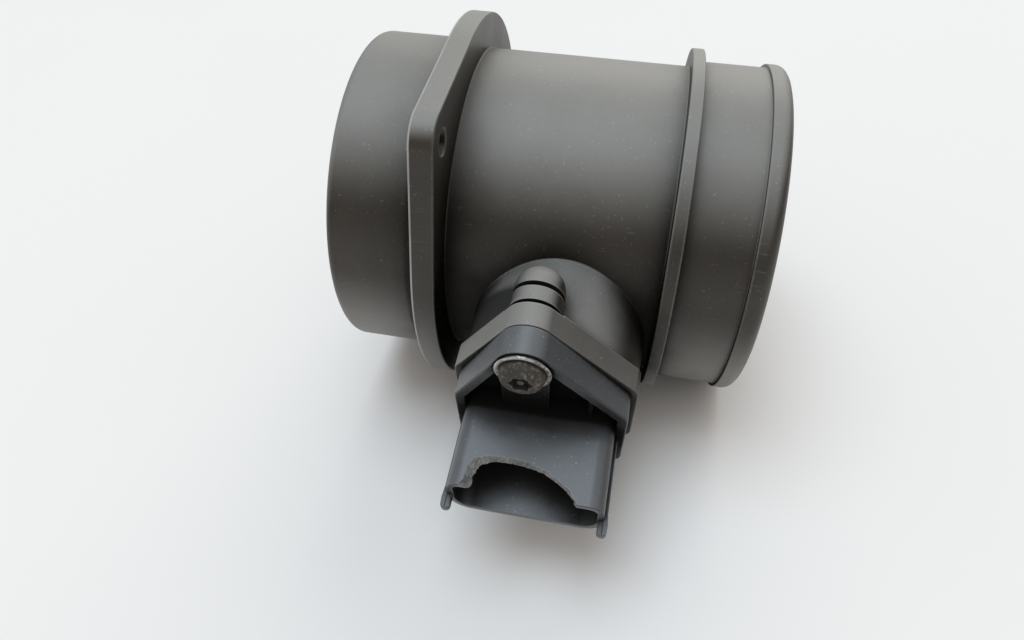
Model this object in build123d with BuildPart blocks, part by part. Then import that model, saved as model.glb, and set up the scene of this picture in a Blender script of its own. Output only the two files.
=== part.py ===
from build123d import *
import os
from math import asin, atan2, cos, degrees, hypot, radians, sin, tan

# Mass airflow sensor: a moulded duct with a plug-in measuring module held by two screws.
#
# Lengths are millimetres. X is the duct axis, from the airbox end to the hose end, and the
# origin is the centre of the flange face that meets the airbox. The branch points to -Y and
# down: the lip of the connector reaches the plane that touches the flange and the hose bead.
# On the branch and the module, x runs along the duct from the branch axis, "height" is the
# distance from the duct axis along the branch, and "side" is square to both.

os.makedirs("parts", exist_ok=True)

# ---------------------------------------------------------------- duct
bore_radius = 35.5
tube_wall = 3.0
inlet_length = 22.2
inlet_wall = 4.75
inlet_lead_radius = 1.8
relief_width = 3.8
relief_depth = 0.25
rib_start = 54.2
rib_width = 2.9
rib_height = 4.2
rib_edge = 0.4
hose_length = 19.5
hose_wall = 4.35
bead_width = 4.7
bead_height = 0.85
bead_rounding = 2.6
outlet_flare = 1.3
outlet_edge = 0.8

# ---------------------------------------------------------------- flange to the airbox
flange_radius = 46.8
flange_thickness = 5.5
flange_edge = 0.5
ear_distance = 48.8
ear_radius = 7.2
ear_hole_radius = 2.7
ear_turn = 60.0

# ---------------------------------------------------------------- inlet grid and its ring
grid_seat_step = 1.9
grid_seat_depth = 9.0
grid_depth = 5.0
grid_hoop_wall = 1.6
grid_bar = 0.9
grid_bar_depth = 3.6
grid_pitch = 6.6
grid_clearance = 0.1
ring_width = 1.4
ring_thickness = 1.8
ring_bite = 0.9
ring_clearance = 0.1
ring_gap_angle = 14.0

# ---------------------------------------------------------------- branch and screw columns
branch_x = 32.5
branch_radius = 20.0
branch_bore_radius = 17.0
branch_lead = 0.8
seat_height = 57.5
plate_thickness = 6.25
plate_half_length = 19.9
apex_radius = 5.8
screw_x = -3.2
screw_side = 24.0
corner_side = 8.4
corner_radius = 2.8
seam_edge = 0.25
column_radius = 5.4
column_length = 14.2
column_foot_side = 13.8
column_slope = 45.0
slot_width = 1.1
slot_spacing = 4.75
slot_core_radius = 3.1
pilot_radius = 2.05
pilot_depth = 15.5

# ---------------------------------------------------------------- module flange and shroud
hood_thickness = 6.5
hood_half_length = 18.4
hood_wall = 2.3
hood_floor = 2.0
hood_boss_radius = 5.3
hood_block_width = 10.0
hood_web_width = 0.9
hood_web_inset = 1.0
hood_web_x = 10.4
screw_hole_radius = 2.6
shroud_half_width = 16.2
shroud_upper_side = 7.0
shroud_lower_side = 6.1
shroud_upper_corner = 3.4
shroud_lower_corner = 5.0
shroud_wall = 1.4
shroud_length = 18.5
socket_floor = 65.0
fin_reach = 0.8
fin_width = 2.0
tab_reach = 3.1
tab_inset = 1.1
tab_tip_radius = 0.9

# The piece broken out of the upper wall of the shroud: x, and height below the mouth.
bite_outline = [
    (-13.4, 0.0),
    (-12.6, 1.2),
    (-12.7, 2.6),
    (-12.3, 4.4),
    (-11.2, 6.0),
    (-9.0, 7.0),
    (-6.2, 7.4),
    (-3.1, 7.3),
    (0.0, 6.9),
    (3.3, 6.0),
    (5.7, 4.7),
    (8.0, 3.2),
    (9.5, 1.8),
    (10.3, 0.5),
    (10.6, 0.0),
]

# ---------------------------------------------------------------- module neck and finger
neck_clearance = 0.2
neck_length = 19.5
oring_depth = 7.5
oring_wire_radius = 1.3
oring_clearance = 0.05
oring_groove_width = 3.2
finger_length = 28.0
finger_width = 12.0
finger_nose_radius = 4.5
finger_tail_radius = 1.5
finger_tip_height = -10.5
finger_tip_edge = 0.8

# ---------------------------------------------------------------- covers, pockets, channel
cover_thickness = 1.2
cover_land = 1.2
cover_clearance = 0.1
hybrid_pocket_length = 21.0
hybrid_pocket_base = 14.0
hybrid_pocket_height = 20.5
hybrid_pocket_floor = -1.7
pocket_corner = 1.5
channel_floor = -3.5
channel_base = -7.5
channel_height = 6.5
channel_divider = 3.0
channel_tail_wall = 3.5
channel_nose_wall = 4.0
channel_turn_start = 2.5
channel_corner = 2.5
outlet_window_length = 5.5
outlet_window_height = 4.5

# ---------------------------------------------------------------- electronics
plate_margin = 0.3
mounting_plate_thickness = 1.2
holder_length = 6.0
holder_thickness = 1.2
holder_x = 1.5
holder_tip_height = 3.6
holder_top_height = 20.5
holder_clearance = 0.1
sensor_chip_length = 3.0
sensor_chip_height = 6.0
sensor_chip_thickness = 0.4
sensor_chip_margin = 0.5
substrate_length = 18.0
substrate_height = 12.0
substrate_gap = 0.4
substrate_thickness = 0.65
evaluation_chip_size = 5.0
evaluation_chip_thickness = 0.8

# ---------------------------------------------------------------- terminals
pin_count = 5
pin_pitch = 5.0
pin_width = 2.8
pin_thickness = 0.8
pin_tip_depth = 9.0
pin_tip_chamfer = 0.8
pin_tip_taper = 1.6
pin_side = 0.25
lead_width = 1.3
lead_pitch = 3.4
lead_bend_top = 60.0
lead_bend_base = 46.0
lead_reach = 0.9

# ---------------------------------------------------------------- air temperature sensor
thermistor_height = 22.0
thermistor_radius = 1.1
thermistor_length = 3.4
thermistor_x = 6.0
thermistor_standoff = 2.6
thermistor_lead_radius = 0.3
thermistor_lead_span = 9.0
thermistor_lead_bend = 0.9
thermistor_end_rounding = 0.66

# ---------------------------------------------------------------- module screws
head_radius = 5.7
head_rim = 0.7
head_height = 2.75
head_top_radius = 2.6
shank_radius = 1.95
shank_length = 20.0
socket_depth = 1.7
socket_core_radius = 1.75
socket_lobe_radius = 0.45
socket_lobe_count = 6
socket_pin_radius = 0.6
head_crown = 0.35

# How far a cutting shape reaches past the faces that it cuts.
overcut = 1.0

# ---------------------------------------------------------------- worked out from the above
tube_radius = bore_radius + tube_wall
inlet_radius = bore_radius + inlet_wall
grid_seat_radius = bore_radius + grid_seat_step
rib_radius = tube_radius + rib_height
hose_radius = bore_radius + hose_wall
bead_radius = hose_radius + bead_height
outlet_bore_radius = bore_radius + outlet_flare
rib_end = rib_start + rib_width
duct_end = rib_end + hose_length
bead_start = duct_end - bead_width
mouth_height = seat_height + hood_thickness + shroud_length
hood_top = seat_height + hood_thickness
cavity_floor = seat_height + hood_floor
plate_base = seat_height - plate_thickness
neck_radius = branch_bore_radius - neck_clearance
neck_foot_height = seat_height - neck_length
oring_height = seat_height - oring_depth
finger_half_length = finger_length / 2
finger_face = finger_width / 2
hybrid_pocket_top = hybrid_pocket_base + hybrid_pocket_height
lead_end_height = hybrid_pocket_top - lead_reach
substrate_base = lead_end_height - substrate_gap - substrate_height

# The plane under the flange and the bead also touches the lip of the shroud.
rest_slope = (flange_radius - bead_radius) / (bead_start - flange_thickness)
lip_x = branch_x + shroud_half_width - shroud_lower_corner
rest_depth = flange_radius - rest_slope * (lip_x - flange_thickness)
lip_angle = atan2(shroud_lower_side, mouth_height)
branch_drop = asin(rest_depth / hypot(mouth_height, shroud_lower_side)) - lip_angle

branch_direction = Vector(0, -cos(branch_drop), -sin(branch_drop))
side_direction = Vector(0, -sin(branch_drop), cos(branch_drop))
branch_plane = Plane(origin=(branch_x, 0, 0), x_dir=(1, 0, 0), z_dir=branch_direction)
branch_axis = Axis(branch_plane.origin, branch_direction)
screw_places = [(screw_x, screw_side), (screw_x, -screw_side)]


def side_plane(side):
    """A plane square to the side direction, drawn in x and height, extruding downwards."""
    return Plane(
        origin=branch_plane.origin + side_direction * side,
        x_dir=(1, 0, 0),
        z_dir=-side_direction,
    )


def corner_at(sketch, x, y):
    """The vertex of a sketch nearest to a drawn point."""
    return sketch.vertices().sort_by_distance((x, y, 0))[0]


def draw_hexagon(half_length, inset=0):
    """The six-sided outline, rounded at the screws, of the boss plate and module flange."""
    corner_x = half_length - corner_radius
    with Locations(*screw_places):
        Circle(apex_radius - inset)
    with GridLocations(2 * corner_x, 2 * corner_side, 2, 2):
        Circle(corner_radius - inset)
    make_hull()


def draw_shroud(inset):
    """The rounded section of the connector shroud, taken in by the inset."""
    upper = shroud_upper_corner - inset
    lower = shroud_lower_corner - inset
    upper_x = shroud_half_width - shroud_upper_corner
    lower_x = shroud_half_width - shroud_lower_corner
    upper_y = shroud_upper_side - shroud_upper_corner
    lower_y = shroud_lower_corner - shroud_lower_side
    with Locations((upper_x, upper_y), (-upper_x, upper_y)):
        Circle(upper)
    with Locations((lower_x, lower_y), (-lower_x, lower_y)):
        Circle(lower)
    make_hull()


def rectangle_between(x0, x1, y0, y1, mode=Mode.ADD):
    """A rectangle in the current sketch, given by its sides."""
    with Locations(((x0 + x1) / 2, (y0 + y1) / 2)):
        Rectangle(abs(x1 - x0), abs(y1 - y0), mode=mode)


def save(piece, name):
    """Label a finished piece and write it as a STEP file."""
    piece.part.label = name
    export_step(piece.part, "parts/" + name + ".step")


# ================================================================ duct housing
grid_seat_x = grid_seat_depth - inlet_length
ring_x = grid_seat_x - grid_depth - ring_clearance - ring_width
ring_radius = grid_seat_radius + ring_bite
slot_base = plate_base - slot_width
column_start = plate_base - column_length
column_run = screw_side - column_foot_side
column_foot_height = column_start - column_run * tan(radians(column_slope))

with BuildPart() as duct_housing:
    # The flange is a disc with two ears, joined to it by straight tangents.
    with BuildSketch(Plane.YZ):
        Circle(flange_radius)
        ear_start = 180 + degrees(branch_drop) - ear_turn
        with PolarLocations(ear_distance, 2, start_angle=ear_start):
            Circle(ear_radius)
        make_hull()
    extrude(amount=flange_thickness)
    chamfer(duct_housing.faces().filter_by(Axis.X).edges(), length=flange_edge)

    # The outside of the duct is one turned outline.
    with BuildSketch(Plane.XY) as outside:
        with BuildLine():
            Polyline(
                (-inlet_length, 0),
                (-inlet_length, inlet_radius),
                (flange_edge, inlet_radius),
                (flange_edge, tube_radius),
                (rib_start, tube_radius),
                (rib_start, rib_radius),
                (rib_end, rib_radius),
                (rib_end, hose_radius),
                (bead_start, hose_radius),
                (bead_start, bead_radius),
                (duct_end, bead_radius),
                (duct_end, 0),
                close=True,
            )
        make_face()
        fillet(corner_at(outside, -inlet_length, inlet_radius), inlet_lead_radius)
        chamfer(corner_at(outside, rib_start, rib_radius), rib_edge)
        chamfer(corner_at(outside, rib_end, rib_radius), rib_edge)
        fillet(corner_at(outside, duct_end, bead_radius), bead_rounding)
    revolve(axis=Axis.X)

    # A shallow relief runs round the spigot beside the flange.
    with BuildSketch(Plane.XY):
        with BuildLine():
            Line((-relief_width, inlet_radius), (0, inlet_radius))
            ThreePointArc(
                (0, inlet_radius),
                (-relief_width / 2, inlet_radius - relief_depth),
                (-relief_width, inlet_radius),
            )
        make_face()
    revolve(axis=Axis.X, mode=Mode.SUBTRACT)

    # The branch, the screw columns that lean out of it, and the boss plate of the module.
    with BuildSketch(branch_plane):
        Circle(branch_radius)
    extrude(amount=seat_height)
    with BuildSketch(branch_plane.offset(column_start)):
        with Locations(*screw_places):
            Circle(column_radius)
    extrude(amount=plate_base - column_start)
    for turn in (1, -1):
        with BuildSketch(branch_plane.offset(column_foot_height)):
            with Locations((screw_x, turn * column_foot_side)):
                Circle(column_radius)
        with BuildSketch(branch_plane.offset(column_start)):
            with Locations((screw_x, turn * screw_side)):
                Circle(column_radius)
        loft()
    with BuildSketch(branch_plane.offset(plate_base)):
        draw_hexagon(plate_half_length)
    extrude(amount=plate_thickness)
    seat_faces = duct_housing.faces().filter_by(branch_plane).sort_by(branch_axis)
    chamfer(seat_faces[-1].outer_wire().edges(), length=seam_edge)

    # Two narrow slots round each column keep its wall thin.
    for slot_height in (slot_base, slot_base - slot_spacing):
        with BuildSketch(branch_plane.offset(slot_height)):
            with Locations(*screw_places):
                Circle(column_radius + overcut)
                Circle(slot_core_radius, mode=Mode.SUBTRACT)
            Circle(branch_radius, mode=Mode.SUBTRACT)
        extrude(amount=slot_width, mode=Mode.SUBTRACT)

    # The air passage, with the seat of the inlet grid and the groove of its ring.
    with BuildSketch(Plane.XY) as passage:
        with BuildLine():
            Polyline(
                (-inlet_length, 0),
                (-inlet_length, grid_seat_radius),
                (grid_seat_x, grid_seat_radius),
                (grid_seat_x, bore_radius),
                (rib_start, bore_radius),
                (duct_end - outlet_edge, outlet_bore_radius),
                (duct_end, outlet_bore_radius + outlet_edge),
                (duct_end, 0),
                close=True,
            )
        make_face()
        rectangle_between(
            ring_x - ring_clearance,
            ring_x + ring_width + ring_clearance,
            bore_radius,
            ring_radius + ring_clearance,
        )
    revolve(axis=Axis.X, mode=Mode.SUBTRACT)

    # The bore of the branch, led in at the top, and the holes for the fixings.
    with BuildSketch(branch_plane):
        Circle(branch_bore_radius)
    extrude(amount=seat_height, mode=Mode.SUBTRACT)
    top_faces = duct_housing.faces().filter_by(branch_plane).sort_by(branch_axis)
    chamfer(top_faces[-1].inner_wires().edges(), length=branch_lead)
    with BuildSketch(branch_plane.offset(seat_height)):
        with Locations(*screw_places):
            Circle(pilot_radius)
    extrude(amount=-pilot_depth, mode=Mode.SUBTRACT)
    with BuildSketch(Plane.YZ):
        with PolarLocations(ear_distance, 2, start_angle=ear_start):
            Circle(ear_hole_radius)
    extrude(amount=flange_thickness, mode=Mode.SUBTRACT)

save(duct_housing, "duct_housing")

# ================================================================ inlet grid
grid_radius = grid_seat_radius - grid_clearance
bar_count = int(2 * bore_radius / grid_pitch)

with BuildPart() as inlet_grid:
    with BuildSketch(Plane.YZ.offset(grid_seat_x - grid_depth)):
        Circle(grid_radius)
        Circle(grid_radius - grid_hoop_wall, mode=Mode.SUBTRACT)
    extrude(amount=grid_depth)
    with BuildSketch(Plane.YZ.offset(grid_seat_x - grid_bar_depth)):
        with GridLocations(grid_pitch, 0, bar_count, 1):
            Rectangle(grid_bar, 2 * grid_radius)
        with GridLocations(0, grid_pitch, 1, bar_count):
            Rectangle(2 * grid_radius, grid_bar)
        Circle(grid_radius - grid_hoop_wall / 2, mode=Mode.INTERSECT)
    extrude(amount=grid_bar_depth)

save(inlet_grid, "inlet_grid")

# ================================================================ grid retaining ring
with BuildPart() as grid_ring:
    with BuildSketch(Plane.YZ.offset(ring_x)) as ring:
        Circle(ring_radius)
        Circle(ring_radius - ring_thickness, mode=Mode.SUBTRACT)
        gap_width = 2 * ring_radius * sin(radians(ring_gap_angle / 2))
        with Locations((ring_radius * cos(branch_drop), ring_radius * sin(branch_drop))):
            Rectangle(4 * ring_thickness, gap_width, rotation=degrees(branch_drop), mode=Mode.SUBTRACT)
    extrude(amount=ring_width)

save(grid_ring, "grid_retaining_ring")

# ================================================================ terminals
pin_tip = mouth_height - pin_tip_depth
pin_face = pin_side + pin_thickness / 2
terminals = []

for index in range(pin_count):
    step = index - (pin_count - 1) / 2
    blade_x = step * pin_pitch
    tail_x = step * lead_pitch
    with BuildPart() as terminal:
        with BuildSketch(side_plane(pin_face)) as blade:
            with BuildLine():
                Polyline(
                    (tail_x - lead_width / 2, lead_end_height),
                    (tail_x + lead_width / 2, lead_end_height),
                    (tail_x + lead_width / 2, lead_bend_base),
                    (blade_x + pin_width / 2, lead_bend_top),
                    (blade_x + pin_width / 2, pin_tip - pin_tip_taper),
                    (blade_x + pin_width / 2 - pin_tip_chamfer, pin_tip),
                    (blade_x - pin_width / 2 + pin_tip_chamfer, pin_tip),
                    (blade_x - pin_width / 2, pin_tip - pin_tip_taper),
                    (blade_x - pin_width / 2, lead_bend_top),
                    (tail_x - lead_width / 2, lead_bend_base),
                    close=True,
                )
            make_face()
        extrude(amount=pin_thickness)
    terminals.append(terminal)
    save(terminal, "terminal_" + str(index + 1))

# ================================================================ module housing
pocket_half = hybrid_pocket_length / 2
cover_half = pocket_half + cover_land
hybrid_cover_base = hybrid_pocket_base - cover_land
hybrid_cover_top = hybrid_pocket_top + cover_land
channel_tail = finger_half_length - channel_tail_wall
channel_nose = channel_nose_wall - finger_half_length
lower_leg_top = channel_base + channel_height
upper_leg_base = lower_leg_top + channel_divider
channel_top = upper_leg_base + channel_height
channel_cover_nose = -finger_half_length + cover_land
channel_cover_tail = channel_tail + cover_land
channel_cover_base = channel_base - cover_land
channel_cover_top = channel_top + cover_land
holder_face = hybrid_pocket_floor + mounting_plate_thickness + holder_thickness
groove_radius = branch_bore_radius - 2 * oring_wire_radius - 2 * oring_clearance

# The line along the middle of the hood's wall, where the webs inside it end.
with BuildSketch() as hood_middle:
    draw_hexagon(hood_half_length, hood_wall / 2)

with BuildPart() as module_housing:
    # The neck closes the branch and carries the seal in a groove.
    with BuildSketch(branch_plane.offset(neck_foot_height)):
        Circle(neck_radius)
    extrude(amount=seat_height - neck_foot_height)
    with BuildSketch(branch_plane.offset(oring_height - oring_groove_width / 2)):
        Circle(neck_radius + overcut)
        Circle(groove_radius, mode=Mode.SUBTRACT)
    extrude(amount=oring_groove_width, mode=Mode.SUBTRACT)

    # The finger reaches past the middle of the duct, with a round nose to the air flow.
    with BuildSketch(branch_plane.offset(finger_tip_height)) as finger:
        Rectangle(finger_length, finger_width)
        fillet(finger.vertices().group_by(Axis.X)[0], finger_nose_radius)
        fillet(finger.vertices().group_by(Axis.X)[-1], finger_tail_radius)
    extrude(amount=neck_foot_height - finger_tip_height)
    tip_faces = module_housing.faces().filter_by(branch_plane).sort_by(branch_axis)
    fillet(tip_faces[0].edges(), radius=finger_tip_edge)

    # The hood is a shallow six-sided shell, open to the outside round the shroud.
    with BuildSketch(branch_plane.offset(seat_height)):
        draw_hexagon(hood_half_length)
    extrude(amount=hood_thickness)
    hood_faces = module_housing.faces().filter_by(branch_plane).sort_by(branch_axis)
    chamfer(hood_faces[-1].edges(), length=seam_edge)
    with BuildSketch(branch_plane.offset(cavity_floor)):
        draw_hexagon(hood_half_length, hood_wall)
    extrude(amount=hood_thickness, mode=Mode.SUBTRACT)
    with BuildSketch(branch_plane.offset(cavity_floor)):
        with Locations(*screw_places):
            Circle(hood_boss_radius)
    extrude(amount=hood_top - cavity_floor)

    # Inside the hood a block joins the bosses to the shroud, and a thin web stiffens the wall.
    with BuildSketch(branch_plane.offset(cavity_floor)):
        with Locations((screw_x, 0)):
            Rectangle(hood_block_width, 2 * screw_side)
        with Locations((hood_web_x, 0)):
            Rectangle(hood_web_width, 2 * screw_side)
        add(hood_middle.sketch, mode=Mode.INTERSECT)
    extrude(amount=hood_top - hood_web_inset - cavity_floor)
    with BuildSketch(branch_plane.offset(seat_height)):
        with Locations(*screw_places):
            Circle(screw_hole_radius)
    extrude(amount=hood_thickness, mode=Mode.SUBTRACT)

    # The connector shroud, with a fin down each side that ends in a tab past the mouth.
    with BuildSketch(branch_plane.offset(cavity_floor)):
        draw_shroud(0)
    extrude(amount=mouth_height - cavity_floor)
    fin_x = shroud_half_width + fin_reach
    tab_x = shroud_half_width - tab_inset
    for turn in (1, -1):
        with BuildSketch(side_plane(fin_width / 2)) as fin:
            rectangle_between(turn * tab_x, turn * fin_x, cavity_floor, mouth_height + tab_reach)
            fillet(fin.vertices().group_by(Axis.Y)[-1], tab_tip_radius)
        extrude(amount=fin_width)
    with BuildSketch(branch_plane.offset(socket_floor)):
        draw_shroud(shroud_wall)
    extrude(amount=mouth_height - socket_floor, mode=Mode.SUBTRACT)

    # The upper wall of the shroud is broken out.
    with BuildSketch(side_plane(shroud_upper_side + overcut)):
        with BuildLine():
            Polyline(*[(x, mouth_height - depth) for x, depth in bite_outline], close=True)
        make_face()
    extrude(amount=shroud_wall + 2 * overcut, mode=Mode.SUBTRACT)

    # Two pockets in the finger, each with a rebate for its cover.
    with BuildSketch(side_plane(finger_face)):
        rectangle_between(-cover_half, cover_half, hybrid_cover_base, hybrid_cover_top)
    extrude(amount=cover_thickness, mode=Mode.SUBTRACT)
    with BuildSketch(side_plane(finger_face)) as pocket:
        rectangle_between(-pocket_half, pocket_half, hybrid_pocket_base, hybrid_pocket_top)
        fillet(pocket.vertices(), pocket_corner)
    extrude(amount=finger_face - hybrid_pocket_floor, mode=Mode.SUBTRACT)
    with BuildSketch(side_plane(finger_face)):
        rectangle_between(
            channel_cover_nose, channel_cover_tail, channel_cover_base, channel_cover_top
        )
    extrude(amount=cover_thickness, mode=Mode.SUBTRACT)

    # The measuring channel takes air in at the nose, turns it back and past the sensor.
    with BuildSketch(side_plane(finger_face)) as channel:
        rectangle_between(channel_nose, channel_tail, channel_base, channel_top)
        fillet(channel.vertices(), channel_corner)
        rectangle_between(
            channel_nose - overcut,
            channel_turn_start,
            lower_leg_top,
            upper_leg_base,
            mode=Mode.SUBTRACT,
        )
        rectangle_between(-finger_half_length, 0, channel_base, lower_leg_top)
    extrude(amount=finger_face - channel_floor, mode=Mode.SUBTRACT)

    # The sensor holder passes from the hybrid pocket into the channel through a slot.
    with BuildSketch(side_plane(holder_face + holder_clearance)):
        rectangle_between(
            holder_x - holder_length / 2 - holder_clearance,
            holder_x + holder_length / 2 + holder_clearance,
            channel_top - channel_corner,
            hybrid_pocket_base + pocket_corner,
        )
    extrude(amount=holder_thickness + 2 * holder_clearance, mode=Mode.SUBTRACT)

    # The terminals are moulded in.
    for terminal in terminals:
        add(terminal.part, mode=Mode.SUBTRACT)

save(module_housing, "module_housing")

# ================================================================ seal
with BuildPart() as oring:
    with BuildSketch(side_plane(0)):
        with Locations((groove_radius + oring_clearance + oring_wire_radius, oring_height)):
            Circle(oring_wire_radius)
    revolve(axis=branch_axis)

save(oring, "oring")

# ================================================================ covers of the finger
with BuildPart() as hybrid_cover:
    with BuildSketch(side_plane(finger_face)):
        rectangle_between(
            cover_clearance - cover_half,
            cover_half - cover_clearance,
            hybrid_cover_base + cover_clearance,
            hybrid_cover_top - cover_clearance,
        )
    extrude(amount=cover_thickness)

save(hybrid_cover, "hybrid_cover")

with BuildPart() as channel_cover:
    with BuildSketch(side_plane(finger_face)):
        rectangle_between(
            channel_cover_nose + cover_clearance,
            channel_cover_tail - cover_clearance,
            channel_cover_base + cover_clearance,
            channel_cover_top - cover_clearance,
        )
        window_x = channel_nose + outlet_window_length / 2
        with Locations((window_x, upper_leg_base + channel_height / 2)):
            Rectangle(outlet_window_length, outlet_window_height, mode=Mode.SUBTRACT)
    extrude(amount=cover_thickness)

save(channel_cover, "measuring_channel_cover")

# ================================================================ electronics
plate_face = hybrid_pocket_floor + mounting_plate_thickness

with BuildPart() as mounting_plate:
    with BuildSketch(side_plane(plate_face)) as plate:
        rectangle_between(
            plate_margin - pocket_half,
            pocket_half - plate_margin,
            hybrid_pocket_base + plate_margin,
            hybrid_pocket_top - plate_margin,
        )
        fillet(plate.vertices(), pocket_corner)
    extrude(amount=mounting_plate_thickness)

save(mounting_plate, "mounting_plate")

chip_x = holder_x + sensor_chip_margin
chip_base = holder_tip_height + sensor_chip_margin

with BuildPart() as sensor_holder:
    with BuildSketch(side_plane(holder_face)):
        rectangle_between(
            holder_x - holder_length / 2,
            holder_x + holder_length / 2,
            holder_tip_height,
            holder_top_height,
        )
    extrude(amount=holder_thickness)
    with BuildSketch(side_plane(holder_face)):
        with Locations((chip_x, chip_base + sensor_chip_height / 2)):
            Rectangle(sensor_chip_length, sensor_chip_height)
    extrude(amount=sensor_chip_thickness, mode=Mode.SUBTRACT)

save(sensor_holder, "sensor_holder")

with BuildPart() as sensor_chip:
    with BuildSketch(side_plane(holder_face)):
        with Locations((chip_x, chip_base + sensor_chip_height / 2)):
            Rectangle(sensor_chip_length, sensor_chip_height)
    extrude(amount=sensor_chip_thickness)

save(sensor_chip, "sensor_element")

substrate_face = plate_face + substrate_thickness

with BuildPart() as substrate:
    with BuildSketch(side_plane(substrate_face)):
        with Locations((0, substrate_base + substrate_height / 2)):
            Rectangle(substrate_length, substrate_height)
    extrude(amount=substrate_thickness)

save(substrate, "hybrid_substrate")

with BuildPart() as evaluation_chip:
    with BuildSketch(side_plane(substrate_face + evaluation_chip_thickness)):
        with Locations((0, substrate_base + substrate_height / 2)):
            Rectangle(evaluation_chip_size, evaluation_chip_size)
    extrude(amount=evaluation_chip_thickness)

save(evaluation_chip, "evaluation_chip")

# ================================================================ air temperature sensor
with BuildPart() as thermistor:
    thermistor_side = -finger_face - thermistor_standoff
    thermistor_plane = Plane(
        origin=branch_plane.origin + side_direction * thermistor_side + Vector(thermistor_x, 0, 0),
        x_dir=(1, 0, 0),
        z_dir=branch_direction,
    )
    with BuildSketch(thermistor_plane.offset(thermistor_height - thermistor_length / 2)):
        Circle(thermistor_radius)
    extrude(amount=thermistor_length)
    fillet(thermistor.edges(), radius=thermistor_end_rounding)

save(thermistor, "air_thermistor")

for turn, name in ((1, "thermistor_lead_1"), (-1, "thermistor_lead_2")):
    root_height = thermistor_height + turn * thermistor_lead_span / 2
    end_height = thermistor_height + turn * thermistor_length / 2
    lead_plane = Plane(
        origin=branch_plane.origin + Vector(thermistor_x, 0, 0),
        x_dir=side_direction,
        z_dir=(1, 0, 0),
    )
    with BuildPart() as lead:
        with BuildLine(lead_plane) as route:
            FilletPolyline(
                (-finger_face, root_height),
                (thermistor_side, root_height),
                (thermistor_side, end_height),
                radius=thermistor_lead_bend,
            )
        with BuildSketch(Plane(origin=route.line @ 0, z_dir=route.line % 0)):
            Circle(thermistor_lead_radius)
        sweep()
    save(lead, name)

# ================================================================ module screws
for (place_x, place_side), name in zip(screw_places, ("module_screw_1", "module_screw_2")):
    screw_origin = (
        branch_plane.origin
        + Vector(place_x, 0, 0)
        + side_direction * place_side
        + branch_direction * hood_top
    )
    screw_plane = Plane(origin=screw_origin, x_dir=(1, 0, 0), z_dir=branch_direction)
    profile_plane = Plane(origin=screw_origin, x_dir=(1, 0, 0), z_dir=-side_direction)
    with BuildPart() as screw:
        with BuildSketch(profile_plane):
            with BuildLine():
                Polyline(
                    (0, head_height),
                    (0, -shank_length),
                    (shank_radius, -shank_length),
                    (shank_radius, 0),
                    (head_radius, 0),
                    (head_radius, head_rim),
                )
                ThreePointArc(
                    (head_radius, head_rim),
                    (
                        (head_radius + head_top_radius) / 2 + head_crown,
                        (head_rim + head_height) / 2 + head_crown,
                    ),
                    (head_top_radius, head_height),
                )
                Line((head_top_radius, head_height), (0, head_height))
            make_face()
        revolve(axis=Axis(screw_origin, branch_direction))
        with BuildSketch(screw_plane.offset(head_height)):
            Circle(socket_core_radius)
            with PolarLocations(socket_core_radius, socket_lobe_count):
                Circle(socket_lobe_radius)
            Circle(socket_pin_radius, mode=Mode.SUBTRACT)
        extrude(amount=-socket_depth, mode=Mode.SUBTRACT)
    save(screw, name)
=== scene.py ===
from math import asin, atan2, cos, degrees, hypot, pi, radians, sin, sqrt, tan

import bmesh
import bpy
from mathutils import Euler, Matrix, Vector, noise


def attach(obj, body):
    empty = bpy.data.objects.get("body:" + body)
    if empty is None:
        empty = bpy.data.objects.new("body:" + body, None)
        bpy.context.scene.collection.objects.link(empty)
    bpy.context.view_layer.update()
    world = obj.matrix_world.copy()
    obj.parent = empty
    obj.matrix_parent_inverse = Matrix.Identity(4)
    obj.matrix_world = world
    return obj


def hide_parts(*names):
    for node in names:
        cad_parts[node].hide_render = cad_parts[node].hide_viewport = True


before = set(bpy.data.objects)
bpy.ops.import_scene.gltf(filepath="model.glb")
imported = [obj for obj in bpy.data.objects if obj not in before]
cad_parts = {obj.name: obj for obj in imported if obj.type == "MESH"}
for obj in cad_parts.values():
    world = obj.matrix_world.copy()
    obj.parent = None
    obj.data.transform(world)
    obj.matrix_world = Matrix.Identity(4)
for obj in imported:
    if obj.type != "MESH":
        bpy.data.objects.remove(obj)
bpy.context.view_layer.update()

# The scene dresses a mass airflow sensor: a moulded duct with a plug-in measuring module.
#
# Sizes are millimetres, as the part is drawn, and turn into metres where a mesh is made.
# X is the duct axis, from the airbox end to the hose end, and the branch points to -Y and down.
# On the branch and the module, x runs along the duct from the branch axis, "height" is the
# distance from the duct axis along the branch, and "side" is square to both.

MILLIMETRE = 0.001
FULL_TURN = 2 * pi

# ---------------------------------------------------------------- duct
bore_radius = 35.5
tube_radius = 38.5
inlet_length = 22.2
inlet_radius = 40.25
inlet_lead_radius = 1.8
relief_width = 3.8
relief_depth = 0.25
rib_start = 54.2
rib_end = 57.1
rib_radius = 42.7
hose_radius = 39.85
bead_start = 71.9
bead_radius = 40.7
bead_rounding = 2.6
duct_end = 76.6
outlet_bore_radius = 36.8
outlet_edge = 0.8
grid_seat_radius = 37.4
grid_seat_x = -13.2
ring_groove = (-19.8, -18.2)
ring_groove_radius = 38.4
axis_opening = 0.5
moulded_edge = 0.3
moulded_corner = 0.35

# ---------------------------------------------------------------- flange to the airbox
flange_radius = 46.8
flange_thickness = 5.5
flange_edge = 0.4
ear_distance = 48.8
ear_radius = 7.2
ear_hole_radius = 2.7
ear_turn = 60.0
ear_hole_flare = 1.3
ear_hole_edge = 0.3

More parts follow.
